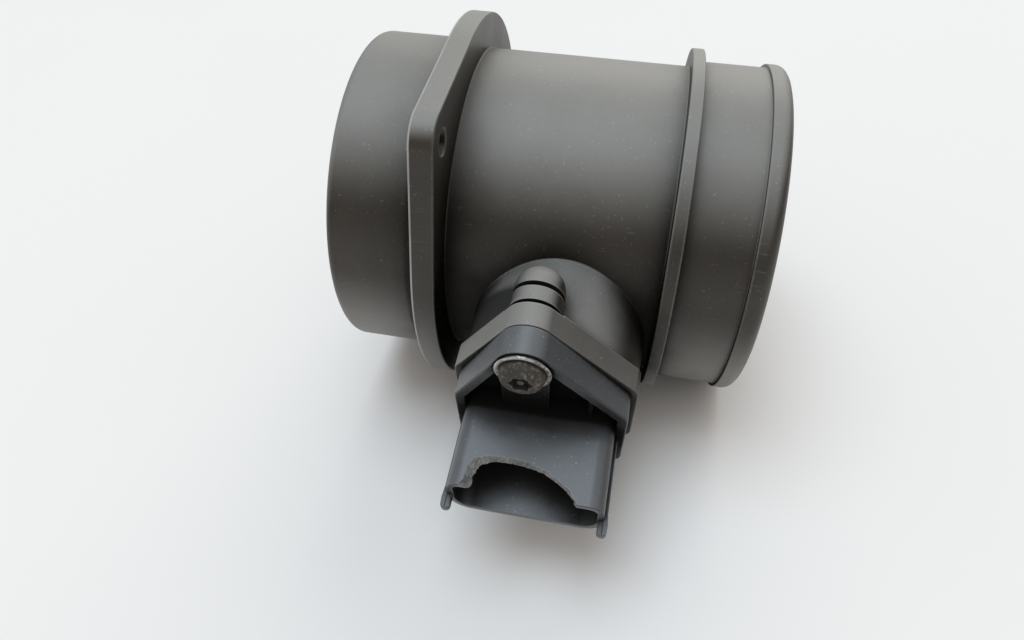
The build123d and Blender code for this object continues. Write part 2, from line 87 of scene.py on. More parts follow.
# ---------------------------------------------------------------- branch and screw columns
branch_x = 32.5
branch_radius = 20.0
branch_bore_radius = 17.0
branch_fillet = 0.4
branch_bore_start = 30
branch_lead = 0.8
seat_height = 57.5
plate_base = 51.25
plate_half_length = 19.9
apex_radius = 5.8
screw_x = -3.2
screw_side = 24.0
corner_side = 8.4
corner_radius = 2.8
column_radius = 5.4
column_dome_height = 45.3
slot_places = [46.4, 50.9]
slot_width = 1.1
slot_core_radius = 3.1
slot_reach = 0.9
pilot_radius = 2.05
pilot_depth = 15.5

# ---------------------------------------------------------------- module
hood_top = 64.0
hood_half_length = 18.4
hood_wall = 2.3
cavity_floor = 59.5
hood_boss_radius = 5.3
hood_block_width = 10.0
hood_web_width = 0.9
hood_web_x = 10.4
hood_web_top = 63.0
screw_hole_radius = 2.6
shroud_half_width = 16.2
shroud_upper_side = 7.0
shroud_lower_side = 6.1
shroud_upper_corner = 3.4
shroud_lower_corner = 5.0
shroud_wall = 1.4
socket_floor = 65.0
mouth_height = 82.5
terminal_count = 5
fin_reach = 0.8
fin_width = 2.0
fin_edge = 0.25
tab_reach = 3.1
tab_inset = 1.1

# The piece broken out of the upper wall of the shroud: x, and height below the mouth.
bite_outline = [
    (-13.4, 0.0),
    (-12.6, 1.2),
    (-12.7, 2.6),
    (-12.3, 4.4),
    (-11.2, 6.0),
    (-9.0, 7.0),
    (-6.2, 7.4),
    (-3.1, 7.3),
    (0.0, 6.9),
    (3.3, 6.0),
    (5.7, 4.7),
    (8.0, 3.2),
    (9.5, 1.8),
    (10.3, 0.5),
    (10.6, 0.0),
]

bite_slant = 0.055
bite_pivot_x = 9.0
bite_spacing = 0.3
bite_levels = 9
bite_start_side = 0.6
bite_travel = 2.6

# ---------------------------------------------------------------- module screws
head_radius = 5.7
dome_radius = 4.65
dome_height = 3.45
crown_radius = 2.75
rim_base = 0.55
rim_height = 0.96
shank_radius = 1.95
shank_length = 20.0
recess_depth = 1.7
recess_radius = 2.02
recess_wave = 0.2
recess_pin_radius = 0.7
lobe_count = 6

# ---------------------------------------------------------------- camera, floor and light
camera_place = (44.5, -185.477, 69.011)
camera_turn = (60.7304, -3.4619, 10.6640)
camera_lens = 25.857
floor_reach = 3000
resting_up = Vector((-0.079, -0.2252, 0.9711)).normalized()
resting_depth = 47.1
surrounding_strength = 0.42

# Name, direction towards the light, strength, spread in degrees, and colour.
windows = [
    ("overhead_window", (-0.22, -0.20, 1.0), 1.40, 44, (0.72, 0.87, 1.0)),
    ("back_window", (0.10, 1.00, 1.0), 1.00, 46, (1.0, 0.96, 0.88)),
    ("front_fill", (0.05, -1.00, 0.9), 0.34, 60, (1.0, 0.98, 0.95)),
]

# ---------------------------------------------------------------- worked out from the above
rest_slope = (flange_radius - bead_radius) / (bead_start - flange_thickness)
lip_x = branch_x + shroud_half_width - shroud_lower_corner
rest_depth = flange_radius - rest_slope * (lip_x - flange_thickness)
lip_angle = atan2(shroud_lower_side, mouth_height)
branch_drop = asin(rest_depth / hypot(mouth_height, shroud_lower_side)) - lip_angle
branch_direction = Vector((0, -cos(branch_drop), -sin(branch_drop)))
side_direction = Vector((0, -sin(branch_drop), cos(branch_drop)))
screw_places = [(screw_x, screw_side), (screw_x, -screw_side)]


def module_point(x, side, height):
    """A point by the directions of the branch and the module, in the part's own frame."""
    return Vector((branch_x + x, 0, 0)) + side_direction * side + branch_direction * height


# ================================================================ outlines
def soften(corners, steps=6):
    """A closed outline with its corners rounded. Each corner is (x, y, radius)."""
    points = []
    for index, (x, y, radius) in enumerate(corners):
        here = Vector((x, y))
        if not radius:
            points.append(here)
            continue
        before = (Vector(corners[index - 1][:2]) - here).normalized()
        after = (Vector(corners[(index + 1) % len(corners)][:2]) - here).normalized()
        half = before.angle(after) / 2
        centre = here + (before + after).normalized() * radius / sin(half)
        start = here + before * radius / tan(half) - centre
        end = here + after * radius / tan(half) - centre
        points += [centre + start.slerp(end, step / steps).normalized() * radius for step in range(steps + 1)]
    return points


def hull_loop(circles, inset=0.0, count=240):
    """Points round the hull of circles, each (x, y, radius), all taken in by the inset."""
    loop = []
    for index in range(count):
        angle = FULL_TURN * index / count
        out_x, out_y = cos(angle), sin(angle)
        x, y, radius = max(circles, key=lambda c: c[0] * out_x + c[1] * out_y + c[2])
        loop.append((x + (radius - inset) * out_x, y + (radius - inset) * out_y))
    return loop


def hexagon(half_length, inset=0.0):
    """The six-sided outline, rounded at the screws, of the boss plate and module flange."""
    corner_x = half_length - corner_radius
    circles = [(x, side, apex_radius) for x, side in screw_places]
    circles += [(x, y, corner_radius) for x in (corner_x, -corner_x) for y in (corner_side, -corner_side)]
    return hull_loop(circles, inset)


def shroud_outline(inset=0.0):
    """The rounded section of the connector shroud, taken in by the inset."""
    upper_x = shroud_half_width - shroud_upper_corner
    lower_x = shroud_half_width - shroud_lower_corner
    upper_side = shroud_upper_side - shroud_upper_corner
    lower_side = shroud_lower_corner - shroud_lower_side
    circles = [(x, upper_side, shroud_upper_corner) for x in (upper_x, -upper_x)]
    circles += [(x, lower_side, shroud_lower_corner) for x in (lower_x, -lower_x)]
    return hull_loop(circles, inset)


def circle(x, y, radius, count=96):
    """Points round a circle."""
    return hull_loop([(x, y, radius)], count=count)


def slab_levels(low, high, low_edge, high_edge, steps=5):
    """Heights through a slab with rounded edges, each with how far its outline is taken in."""
    levels = []
    for step in range(steps + 1):
        angle = pi / 2 * step / steps
        levels.append((low_edge * (1 - sin(angle)), low + low_edge * (1 - cos(angle))))
    for step in range(steps + 1):
        angle = pi / 2 * step / steps
        levels.append((high_edge * (1 - cos(angle)), high - high_edge * (1 - sin(angle))))
    return levels


# ================================================================ meshes
def make_object(name, build):
    """A new object whose mesh is drawn in millimetres by the build function."""
    drawing = bmesh.new()
    build(drawing)
    bmesh.ops.recalc_face_normals(drawing, faces=drawing.faces)
    bmesh.ops.scale(drawing, vec=Vector((1, 1, 1)) * MILLIMETRE, verts=drawing.verts)
    mesh = bpy.data.meshes.new(name)
    drawing.to_mesh(mesh)
    drawing.free()
    made = bpy.data.objects.new(name, mesh)
    bpy.context.collection.objects.link(made)
    return made


def skin(name, loops):
    """A closed solid through a stack of loops, each with as many points as the next."""
    def build(drawing):
        rows = [[drawing.verts.new(point) for point in loop] for loop in loops]
        count = len(rows[0])
        for lower, upper in zip(rows, rows[1:]):
            for index in range(count):
                after = (index + 1) % count
                drawing.faces.new((lower[index], lower[after], upper[after], upper[index]))
        drawing.faces.new(rows[0])
        drawing.faces.new(rows[-1])
    return make_object(name, build)


def turned(name, outline, segments=256):
    """A solid turned about the duct axis from points (x, radius), open to the axis at its ends."""
    loops = []
    for x, radius in outline:
        angles = [FULL_TURN * index / segments for index in range(segments)]
        loops.append([Vector((x, radius * cos(angle), radius * sin(angle))) for angle in angles])
    return skin(name, loops)


def module_stack(name, outline, levels):
    """A solid along the branch: the outline function is drawn at each (inset, height)."""
    return skin(name, [
        [module_point(x, side, height) for x, side in outline(inset)] for inset, height in levels
    ])


def module_pin(name, x, side, profile, segments=96):
    """A round solid along the branch through points (radius, height)."""
    return skin(name, [
        [module_point(px, py, height) for px, py in circle(x, side, radius, segments)]
        for radius, height in profile
    ])


def combine(base, tool, operation):
    """Join, cut or intersect the base with a tool, which is used up."""
    change = base.modifiers.new(operation, "BOOLEAN")
    change.operation = operation
    change.solver = "MANIFOLD"
    change.material_mode = "TRANSFER" if tool.data.materials else "INDEX"
    change.object = tool
    changed = bpy.data.meshes.new_from_object(
        base.evaluated_get(bpy.context.evaluated_depsgraph_get())
    )
    base.modifiers.clear()
    base.data = changed
    bpy.data.objects.remove(tool)
    return base


def paint(piece, finish):
    """Give the whole piece one finish."""
    piece.data.materials.clear()
    piece.data.materials.append(finishes[finish])


def smooth(piece, sharp_angle=32.0):
    """Smooth shading that keeps the hard edges and lets the broad faces stay flat."""
    piece.data.shade_smooth()
    piece.data.set_sharp_from_angle(angle=radians(sharp_angle))
    weighting = piece.modifiers.new("weighting", "WEIGHTED_NORMAL")
    weighting.keep_sharp = True
    weighting.weight = 80
    return piece


# ================================================================ duct housing
def make_duct():
    """The whole moulding: duct, flange, branch, screw columns and boss plate."""
    outside = [Vector((-inlet_length, axis_opening))]
    outside += soften([
        (-inlet_length, 0, 0),
        (-inlet_length, inlet_radius, inlet_lead_radius),
        (0, inlet_radius, 0),
        (0, 0, 0),
    ])[1:-2]
    relief_steps = 10
    for step in range(relief_steps + 1):
        share = step / relief_steps
        dip = relief_depth * (1 - cos(FULL_TURN * share)) / 2
        outside.append(Vector((relief_width * (share - 1), inlet_radius - dip)))
    outside += soften([
        (1, 0, 0),
        (1, inlet_radius, 0),
        (flange_thickness, inlet_radius, 0),
        (flange_thickness, tube_radius, moulded_corner),
        (rib_start, tube_radius, moulded_corner),
        (rib_start, rib_radius, moulded_edge),
        (rib_end, rib_radius, moulded_edge),
        (rib_end, hose_radius, moulded_corner),
        (bead_start, hose_radius, moulded_edge),
        (bead_start, bead_radius, moulded_edge),
        (duct_end, bead_radius, bead_rounding),
        (duct_end, 0, 0),
    ])[1:-1]
    outside.append(Vector((duct_end, axis_opening)))
    duct = turned("duct_shell", outside)

    ear_start = radians(180 + degrees(branch_drop) - ear_turn)
    ears = [(turn * ear_distance * cos(ear_start), turn * ear_distance * sin(ear_start)) for turn in (1, -1)]
    circles = [(0, 0, flange_radius)] + [(y, z, ear_radius) for y, z in ears]
    flange = skin("flange", [
        [Vector((x, y, z)) for y, z in hull_loop(circles, inset, 480)]
        for inset, x in slab_levels(0, flange_thickness, flange_edge, flange_edge)
    ])
    combine(duct, flange, "UNION")

    branch = skin("branch", branch_loops())
    combine(duct, branch, "UNION")
    for turn in (1, -1):
        combine(duct, make_column(turn), "UNION")
    plate = module_stack(
        "plate",
        lambda inset: hexagon(plate_half_length, inset),
        slab_levels(plate_base, seat_height, 0.8, 0.3),
    )
    combine(duct, plate, "UNION")
    for turn in (1, -1):
        for base in slot_places:
            combine(duct, make_slot(turn, base), "DIFFERENCE")

    passage = turned("passage", [
        (-inlet_length - 1, grid_seat_radius + 1.4),
        (-inlet_length + 0.15, grid_seat_radius + 0.15),
        (-inlet_length + 0.5, grid_seat_radius),
        (ring_groove[0], grid_seat_radius),
        (ring_groove[0], ring_groove_radius),
        (ring_groove[1], ring_groove_radius),
        (ring_groove[1], grid_seat_radius),
        (grid_seat_x, grid_seat_radius),
        (grid_seat_x, bore_radius),
        (rib_start, bore_radius),
        (duct_end - outlet_edge, outlet_bore_radius),
        (duct_end + 1, outlet_bore_radius + outlet_edge + 1),
    ])
    combine(duct, passage, "DIFFERENCE")
    bore = module_pin("bore", 0, 0, [
        (branch_bore_radius, branch_bore_start),
        (branch_bore_radius, seat_height - branch_lead),
        (branch_bore_radius + branch_lead + 1, seat_height + 1),
    ], segments=192)
    combine(duct, bore, "DIFFERENCE")
    for x, side in screw_places:
        pilot = module_pin("pilot", x, side, [
            (pilot_radius, seat_height - pilot_depth),
            (pilot_radius, seat_height + 1),
        ])
        combine(duct, pilot, "DIFFERENCE")
    for y, z in ears:
        hole = skin("ear_hole", [
            [Vector((x, py, pz)) for py, pz in circle(y, z, ear_hole_radius + flare)]
            for x, flare in (
                (-1, ear_hole_flare),
                (ear_hole_edge, 0),
                (flange_thickness - ear_hole_edge, 0),
                (flange_thickness + 1, ear_hole_flare),
            )
        ])
        combine(duct, hole, "DIFFERENCE")
    return smooth(duct)


def branch_loops(count=224, fillet_steps=8):
    """Rings of the branch, from inside the duct, out through a fillet on it, to the plate."""
    loops = []
    profile = [(branch_radius + branch_fillet + 0.6, -1.6)]
    for step in range(fillet_steps + 1):
        angle = pi / 2 * step / fillet_steps
        profile.append((
            branch_radius + branch_fillet * (1 - sin(angle)),
            branch_fillet * (1 - cos(angle)) - 0.04,
        ))
    for radius, rise in profile:
        loop = []
        for index in range(count):
            angle = FULL_TURN * index / count
            x, side = radius * cos(angle), radius * sin(angle)
            loop.append(module_point(x, side, sqrt(tube_radius ** 2 - side ** 2) + rise))
        loops.append(loop)
    loops.append([
        module_point(x, side, plate_base + 1) for x, side in circle(0, 0, branch_radius, count)
    ])
    return loops


def make_column(turn):
    """A screw column: a round post beside the branch, with a domed end towards the duct."""
    profile = [(0.4, column_dome_height - column_radius + 0.02)]
    dome_steps = 20
    for step in range(2, dome_steps + 1):
        angle = pi / 2 * step / dome_steps
        profile.append((column_radius * sin(angle), column_dome_height - column_radius * cos(angle)))
    profile.append((column_radius, plate_base + 1))
    return module_pin("column", screw_x, turn * screw_side, profile)


def make_slot(turn, base):
    """The cutter for a narrow slot round a screw column, which leaves its core."""
    outer = column_radius + slot_reach
    ring = module_pin("slot", screw_x, turn * screw_side, [(outer, base), (outer, base + slot_width)])
    core = module_pin("slot_core", screw_x, turn * screw_side, [
        (slot_core_radius, base - 1),
        (slot_core_radius, base + slot_width + 1),
    ])
    combine(ring, core, "DIFFERENCE")
    branch = module_pin("branch_side", 0, 0, [
        (branch_radius, base - 1),
        (branch_radius, base + slot_width + 1),
    ], segments=192)
    return combine(ring, branch, "DIFFERENCE")


# ================================================================ module housing
def make_module_shell():
    """The six-sided hood with the connector shroud, its fins and the broken upper wall."""
    shell = module_stack(
        "module_shell",
        lambda inset: hexagon(hood_half_length, inset),
        slab_levels(seat_height, hood_top, 0.25, 0.45),
    )
    cavity = module_stack(
        "cavity",
        lambda inset: hexagon(hood_half_length, hood_wall + inset),
        [(0.7, cavity_floor), (0.2, cavity_floor + 0.2), (0, cavity_floor + 0.7),
         (0, hood_top - 0.3), (-0.1, hood_top - 0.1), (-0.9, hood_top + 0.7)],
    )
    combine(shell, cavity, "DIFFERENCE")

    block = box_piece("block", screw_x, 0, hood_block_width, 2 * screw_side, cavity_floor - 0.5, hood_web_top)
    web = box_piece("web", hood_web_x, 0, hood_web_width, 2 * screw_side, cavity_floor - 0.4, hood_web_top)
    combine(block, web, "UNION")
    middle = module_stack(
        "middle",
        lambda inset: hexagon(hood_half_length, hood_wall / 2 + inset),
        [(0, cavity_floor - 2), (0, hood_top)],
    )
    combine(block, middle, "INTERSECT")
    combine(shell, block, "UNION")
    for x, side in screw_places:
        boss = module_pin("boss", x, side, [
            (hood_boss_radius, cavity_floor - 0.6),
            (hood_boss_radius, hood_top - 0.2),
            (hood_boss_radius - 0.2, hood_top - 0.005),
        ])
        combine(shell, boss, "UNION")

    shroud = module_stack(
        "shroud",
        shroud_outline,
        slab_levels(cavity_floor - 0.7, mouth_height, 0, 0.3),
    )
    combine(shell, shroud, "UNION")
    for turn in (1, -1):
        combine(shell, make_fin(turn), "UNION")
    socket = module_stack(
        "socket",
        lambda inset: shroud_outline(shroud_wall + inset),
        [(0.4, socket_floor), (0, socket_floor + 0.4), (0, mouth_height - 0.3),
         (-0.08, mouth_height - 0.08), (-0.5, mouth_height + 0.34)],
    )
    combine(shell, socket, "DIFFERENCE")
    for x, side in screw_places:
        hole = module_pin("hole", x, side, [
            (screw_hole_radius, seat_height - 1),
            (screw_hole_radius, hood_top + 1),
        ])
        combine(shell, hole, "DIFFERENCE")
    paint(shell, "module")
    bite = make_bite()
    paint(bite, "fracture")
    combine(shell, bite, "DIFFERENCE")
    return smooth(shell)


def box_piece(name, x, side, width, depth, low, high):
    """A plain block along the branch, before it is joined to its carrier."""
    corners = [(x - width / 2, side - depth / 2), (x + width / 2, side - depth / 2),
               (x + width / 2, side + depth / 2), (x - width / 2, side + depth / 2)]
    return skin(name, [[module_point(px, py, height) for px, py in corners] for height in (low, high)])


def make_fin(turn):
    """The fin down one side of the shroud, which ends in a tab past its mouth."""
    inner = shroud_half_width - tab_inset
    outer = shroud_half_width + fin_reach
    tip = mouth_height + tab_reach
    outline = soften([
        (turn * inner, cavity_floor, 0),
        (turn * outer, cavity_floor, 0),
        (turn * outer, mouth_height - 1.5, 0),
        (turn * (outer + 0.2), mouth_height + 0.8, 0),
        (turn * (outer + 0.05), tip, 0.85),
        (turn * inner, tip, 0.85),
    ])
    middle_x = turn * (inner + outer) / 2
    middle_height = (cavity_floor + tip) / 2
    loops = []
    for inset, side in slab_levels(-fin_width / 2, fin_width / 2, fin_edge, fin_edge, 3):
        loop = []
        for x, height in outline:
            to_x = x - inset * (1 if x > middle_x else -1)
            to_height = height - (inset if height > middle_height + 5 else 0)
            loop.append(module_point(to_x, side, to_height))
        loops.append(loop)
    return skin("fin", loops)


def make_bite():
    """The cutter for the broken wall: a ragged outline that narrows towards the inside."""
    outline = []
    for (x0, depth0), (x1, depth1) in zip(bite_outline, bite_outline[1:]):
        steps = max(1, round(hypot(x1 - x0, depth1 - depth0) / bite_spacing))
        for step in range(steps):
            outline.append((x0 + (x1 - x0) * step / steps, depth0 + (depth1 - depth0) * step / steps))
    outline.append(bite_outline[-1])
    loops = []
    for level in range(bite_levels):
        share = level / (bite_levels - 1)
        side = shroud_upper_side + bite_start_side - bite_travel * share
        shrink = bite_slant * (side - shroud_upper_side)
        loop = []
        for x, depth in outline:
            place = Vector((x, depth, side))
            ragged = 0.34 * noise.noise(place * 0.9) + 0.2 * noise.noise(place * 2.7)
            grow = ragged / hypot(x, depth * 1.7)
            to_x = x * (1 + grow) + (x - bite_pivot_x) * shrink
            to_depth = depth * (1 + grow + shrink)
            loop.append(module_point(to_x, side, mouth_height - to_depth))
        for to_x in (outline[-1][0] + 0.6, outline[0][0] - 0.6):
            past_x = to_x + (to_x - bite_pivot_x) * shrink
            loop.append(module_point(past_x, side, mouth_height + 1.2))
        loops.append(loop)
    return skin("bite", loops)


def make_module_finger():
    """The neck and finger below the hood, as the frame has them, closed off at the seat."""
    cut_height = seat_height - 0.05
    finger = bpy.data.objects.new("module_finger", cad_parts["module_housing"].data.copy())
    bpy.context.collection.objects.link(finger)
    drawing = bmesh.new()
    drawing.from_mesh(finger.data)
    bmesh.ops.remove_doubles(drawing, verts=drawing.verts, dist=0.002 * MILLIMETRE)
    bmesh.ops.bisect_plane(
        drawing,
        geom=drawing.verts[:] + drawing.edges[:] + drawing.faces[:],
        plane_co=module_point(0, 0, cut_height) * MILLIMETRE,
        plane_no=branch_direction,
        clear_outer=True,
    )
    bmesh.ops.holes_fill(drawing, edges=[edge for edge in drawing.edges if edge.is_boundary])
    drawing.to_mesh(finger.data)
    drawing.free()
    return smooth(finger)


# ================================================================ module screws
def make_screw(name, x, side):
    """A flanged round-head screw with a six-lobe recess that has a pin in it."""
    screw = module_pin(name, x, side, [
        (0.3, hood_top - shank_length),
        (shank_radius - 0.4, hood_top - shank_length),
        (shank_radius, hood_top - shank_length + 0.5),
        (shank_radius, hood_top),
        (head_radius - 0.5, hood_top),
        (head_radius - 0.5, hood_top + rim_base - 0.05),
        (head_radius - 0.1, hood_top + rim_base),
        (head_radius, hood_top + rim_base + 0.1),
        (head_radius, hood_top + rim_height - 0.26),
        (head_radius - 0.10, hood_top + rim_height - 0.1),
        (head_radius - 0.26, hood_top + rim_height - 0.02),
        (head_radius - 0.60, hood_top + rim_height),
        (dome_radius - 0.2, hood_top + rim_height - 0.25),
        (0.3, hood_top + rim_height - 0.25),
    ], segments=128)
    paint(screw, "screw_flange")
    profile = [(0.3, hood_top + 0.4), (dome_radius - 0.02, hood_top + 0.4)]
    dome_steps = 20
    rise = dome_height - rim_height + 0.15
    for step in range(dome_steps + 1):
        share = step / dome_steps
        radius = crown_radius + (dome_radius - crown_radius) * cos(pi / 2 * share) ** 0.8
        profile.append((radius, hood_top + rim_height - 0.15 + rise * sin(pi / 2 * share)))
    profile += [
        (crown_radius - 0.1, hood_top + dome_height + 0.02),
        (crown_radius - 0.3, hood_top + dome_height - 0.03),
        (crown_radius - 0.42, hood_top + dome_height - 0.14),
        (0.3, hood_top + dome_height - 0.16),
    ]
    dome = module_pin("dome", x, side, profile, segments=128)
    paint(dome, "screw_dome_tarnish_and_shade")
    combine(screw, dome, "UNION")
    recess = skin("recess", [
        [module_point(x + px, side + py, height) for px, py in lobes(grow)]
        for grow, height in (
            (-0.25, hood_top + dome_height - recess_depth),
            (0.0, hood_top + dome_height - recess_depth + 0.3),
            (0.0, hood_top + dome_height - 0.42),
            (0.16, hood_top + dome_height - 0.1),
            (0.4, hood_top + dome_height + 0.6),
        )
    ])
    # The recess walls take the near-black recess finish, a painted shade.
    paint(recess, "recess")
    combine(screw, recess, "DIFFERENCE")
    pin = module_pin("recess_pin", x, side, [
        (recess_pin_radius, hood_top + dome_height - recess_depth - 0.4),
        (recess_pin_radius, hood_top + dome_height - 0.55),
        (recess_pin_radius - 0.15, hood_top + dome_height - 0.42),
    ], segments=32)
    paint(pin, "screw_dome_tarnish_and_shade")
    combine(screw, pin, "UNION")
    return smooth(screw, 40.0)


def lobes(grow, count=144):
    """The six-lobe outline of the recess, grown by a little."""
    loop = []
    for index in range(count):
        angle = FULL_TURN * index / count
        radius = recess_radius + grow + recess_wave * cos(lobe_count * angle)
        loop.append((radius * cos(angle), radius * sin(angle)))
    return loop


# ================================================================ finishes
class Wire:
    """A socket of a material's nodes, wrapped so that it works in plain expressions."""

    def __init__(self, tree, socket=None):
        self.tree = tree
        self.socket = socket

    def node(self, kind, settings, values, output=0):
        """Add a node: its settings are set first, then its inputs, and one output is wrapped."""
        made = self.tree.nodes.new(kind)
        for name, value in settings.items():
            setattr(made, name, value)
        for name, value in values.items():
            if isinstance(value, Wire):
                self.tree.links.new(value.socket, made.inputs[name])
            else:
                made.inputs[name].default_value = value
        return Wire(self.tree, made.outputs[output])

    def maths(self, operation, *values):
        return self.node("ShaderNodeMath", {"operation": operation}, dict(enumerate(values)))

    def __add__(self, other):
        return self.maths("ADD", self, other)

    def __sub__(self, other):
        return self.maths("SUBTRACT", self, other)

    def __rsub__(self, other):
        return self.maths("SUBTRACT", other, self)

    def __mul__(self, other):
        return self.maths("MULTIPLY", self, other)

    __radd__ = __add__
    __rmul__ = __mul__

    def dot(self, direction):
        """How far this vector goes along a direction."""
        settings = {"operation": "DOT_PRODUCT"}
        return self.node("ShaderNodeVectorMath", settings, {0: self, 1: direction}, output=1)

    def stretched(self, x, y, z):
        """The place with its three directions scaled."""
        return self.node("ShaderNodeVectorMath", {"operation": "MULTIPLY"}, {0: self, 1: (x, y, z)})

    def between(self, low, high):
        """A smooth mask, 0 below the low value and 1 above the high one."""
        return self.node(
            "ShaderNodeMapRange",
            {"interpolation_type": "SMOOTHSTEP"},
            {"Value": self, "From Min": low, "From Max": high},
        )

    def tint(self, first, second):
        """A colour between two others, with this value as the share of the second."""
        return self.node(
            "ShaderNodeMix",
            {"data_type": "RGBA"},
            {0: self, 6: colour(first), 7: colour(second)},
            output=2,
        )


def colour(value):
    """A colour as a socket takes it: a wire as it is, or three numbers with full alpha."""
    if isinstance(value, Wire):
        return value
    return (*value, 1.0)


def new_finish(name):
    """An empty material, as its node tree and its main shader."""
    material = bpy.data.materials.new(name)
    material.use_nodes = True
    shader = material.node_tree.nodes["Principled BSDF"]
    finishes[name] = material
    return Wire(material.node_tree), shader


def place_in_millimetres(sheet):
    """The place on the part, in millimetres."""
    place = sheet.node("ShaderNodeTexCoord", {}, {}, output=3)
    return sheet.node(
        "ShaderNodeVectorMath", {"operation": "SCALE"}, {"Vector": place, "Scale": 1 / MILLIMETRE}
    )


def cloud(place, size, detail=4.0, roughness=0.55):
    """Soft noise whose blobs are about so many millimetres across."""
    return place.node(
        "ShaderNodeTexNoise",
        {},
        {"Vector": place, "Scale": 1 / size, "Detail": detail, "Roughness": roughness},
    )


def facing(sheet, direction):
    """How far the surface faces a direction, from -1 to 1."""
    return sheet.node("ShaderNodeNewGeometry", {}, {}, output=1).dot(direction)


def edge_share(sheet, radius):
    """How near the surface is to a hard edge, from 0 on a flat face."""
    rounded = sheet.node("ShaderNodeBevel", {"samples": 4}, {"Radius": radius * MILLIMETRE})
    normal = sheet.node("ShaderNodeNewGeometry", {}, {}, output=1)
    return 1 - rounded.dot(normal)


def shelter(sheet, distance):
    """How open the surface is to its surroundings, from 0 in a deep corner to 1."""
    return sheet.node(
        "ShaderNodeAmbientOcclusion", {"samples": 6}, {"Distance": distance * MILLIMETRE}, output=1
    )


def connect(shader, **values):
    """Feed wires into the named sockets of the main shader, and set plain numbers on it."""
    for name, value in values.items():
        socket = shader.inputs[name.replace("_", " ")]
        if isinstance(value, Wire):
            value.tree.links.new(value.socket, socket)
        else:
            socket.default_value = value


def relief(sheet, height, distance):
    """A bump from a height between 0 and 1, with its depth in millimetres."""
    return sheet.node(
        "ShaderNodeBump", {}, {"Height": height, "Distance": distance * MILLIMETRE, "Strength": 1.0}
    )


def moulded_plastic(name, base, pale_colour, dust_and_reflection_strength, rough, shine):
    """Dark glass-filled plastic: dusty on top with a painted sheen, a painted reflection of the floor
    underneath, worn along its edges with a painted edge highlight, and painted shade in its corners.
    """
    sheet, shader = new_finish(name)
    place = place_in_millimetres(sheet)
    mottle = cloud(place, 9.0, 5.0, 0.6)
    blotch = cloud(place, 26.0, 3.0)
    grain = cloud(place, 0.35, 3.0, 0.7)
    openness = shelter(sheet, 14.0)
    # A pale film: dust together with a painted sheen of the light from above on upward faces, and a painted
    # reflection of the bright floor on downward faces.
    upward = facing(sheet, (-0.3, 0, 0.954)).between(0.19, 0.71)
    under = facing(sheet, (0, 0, -1)).between(0.12, 0.62)
    dust_and_reflection_share = upward + 0.8 * under
    dust_and_reflection_film = (dust_and_reflection_share * (0.72 + 0.36 * blotch + 0.3 * mottle) + 0.05 * grain) * dust_and_reflection_strength
    specks = cloud(place, 0.6, 2.0, 0.5).between(0.68, 0.74) * (0.35 + 0.65 * upward)
    streaks = cloud(place.stretched(0.25, 3.0, 3.0), 1.5, 3.0, 0.6)
    scuffs = streaks.between(0.64, 0.72) * blotch.between(0.5, 0.62)
    bare = openness.between(0.62, 0.9) * (0.4 + mottle)
    # Paler edges: wear, together with a painted edge highlight.
    wear_and_highlight = (edge_share(sheet, 0.6) * 9.0 * bare).between(0.1, 0.75)
    tone = mottle.between(0.3, 0.7).tint([0.75 * c for c in base], [1.3 * c for c in base])
    with_film = dust_and_reflection_film.tint(tone, pale_colour)
    worn_and_highlit = (wear_and_highlight * 0.7).tint(with_film, [1.25 * c for c in pale_colour])
    scuffed = (scuffs * 0.18).tint(worn_and_highlit, [1.15 * c for c in pale_colour])
    speckled = (specks * 0.6).tint(scuffed, (0.42, 0.40, 0.36))
    gloss = rough + 0.14 * dust_and_reflection_film + 0.12 * (mottle - 0.5) + 0.08 * (grain - 0.5)
    bump = relief(sheet, grain * 0.6 + 0.4 * cloud(place, 1.6, 2.0), 0.035)
    connect(shader, Base_Color=speckled, Roughness=gloss, Normal=bump, IOR=1.55)
    shader.inputs["Specular Tint"].default_value = (*shine, 1.0)
    # Painted shade: near-black laid in corners and creases by ambient occlusion, weaker higher up where more
    # light falls.
    shade_fades_upward = 1 - 0.7 * place.dot((0, 0, 1)).between(0.0, 42.0)
    painted_shade = (1.06 - openness + 0.3 * (mottle - 0.5)).between(0.08, 0.55) * shade_fades_upward
    return sheet, shader, place, openness, painted_shade * 0.92


def cover_with_black(sheet, shader, amount):
    """Lay matt black over a finish, where the amount says: the painted shade, and on the duct a darker patch
    as well.
    """
    painted_shade = sheet.node("ShaderNodeBsdfDiffuse", {}, {"Color": (0.007, 0.0065, 0.006, 1.0)})
    mixed = sheet.node(
        "ShaderNodeMixShader", {}, {0: amount, 1: Wire(sheet.tree, shader.outputs[0]), 2: painted_shade}
    )
    surface = sheet.tree.nodes["Material Output"].inputs["Surface"]
    sheet.tree.links.new(mixed.socket, surface)


def pale_wear_and_highlight(shader, amount, shade):
    """Lay a paler colour over a finish, where the amount says: wear together with a painted highlight."""
    under = Wire(amount.tree, shader.inputs["Base Color"].links[0].from_socket)
    connect(shader, Base_Color=amount.tint(under, shade))


def make_finishes():
    """Every finish of the part."""
    make_duct_plastic()
    make_module_plastic()
    make_fracture()
    make_screw_steel("screw_flange", (0.40, 0.38, 0.35), (0.64, 0.62, 0.58), 0.56, 1.0)
    # The dome is a darker copy of the screw steel: tarnish together with painted shade.
    make_screw_steel("screw_dome_tarnish_and_shade", (0.13, 0.118, 0.10), (0.30, 0.28, 0.25), 0.40, 0.9)
    make_plain_parts()


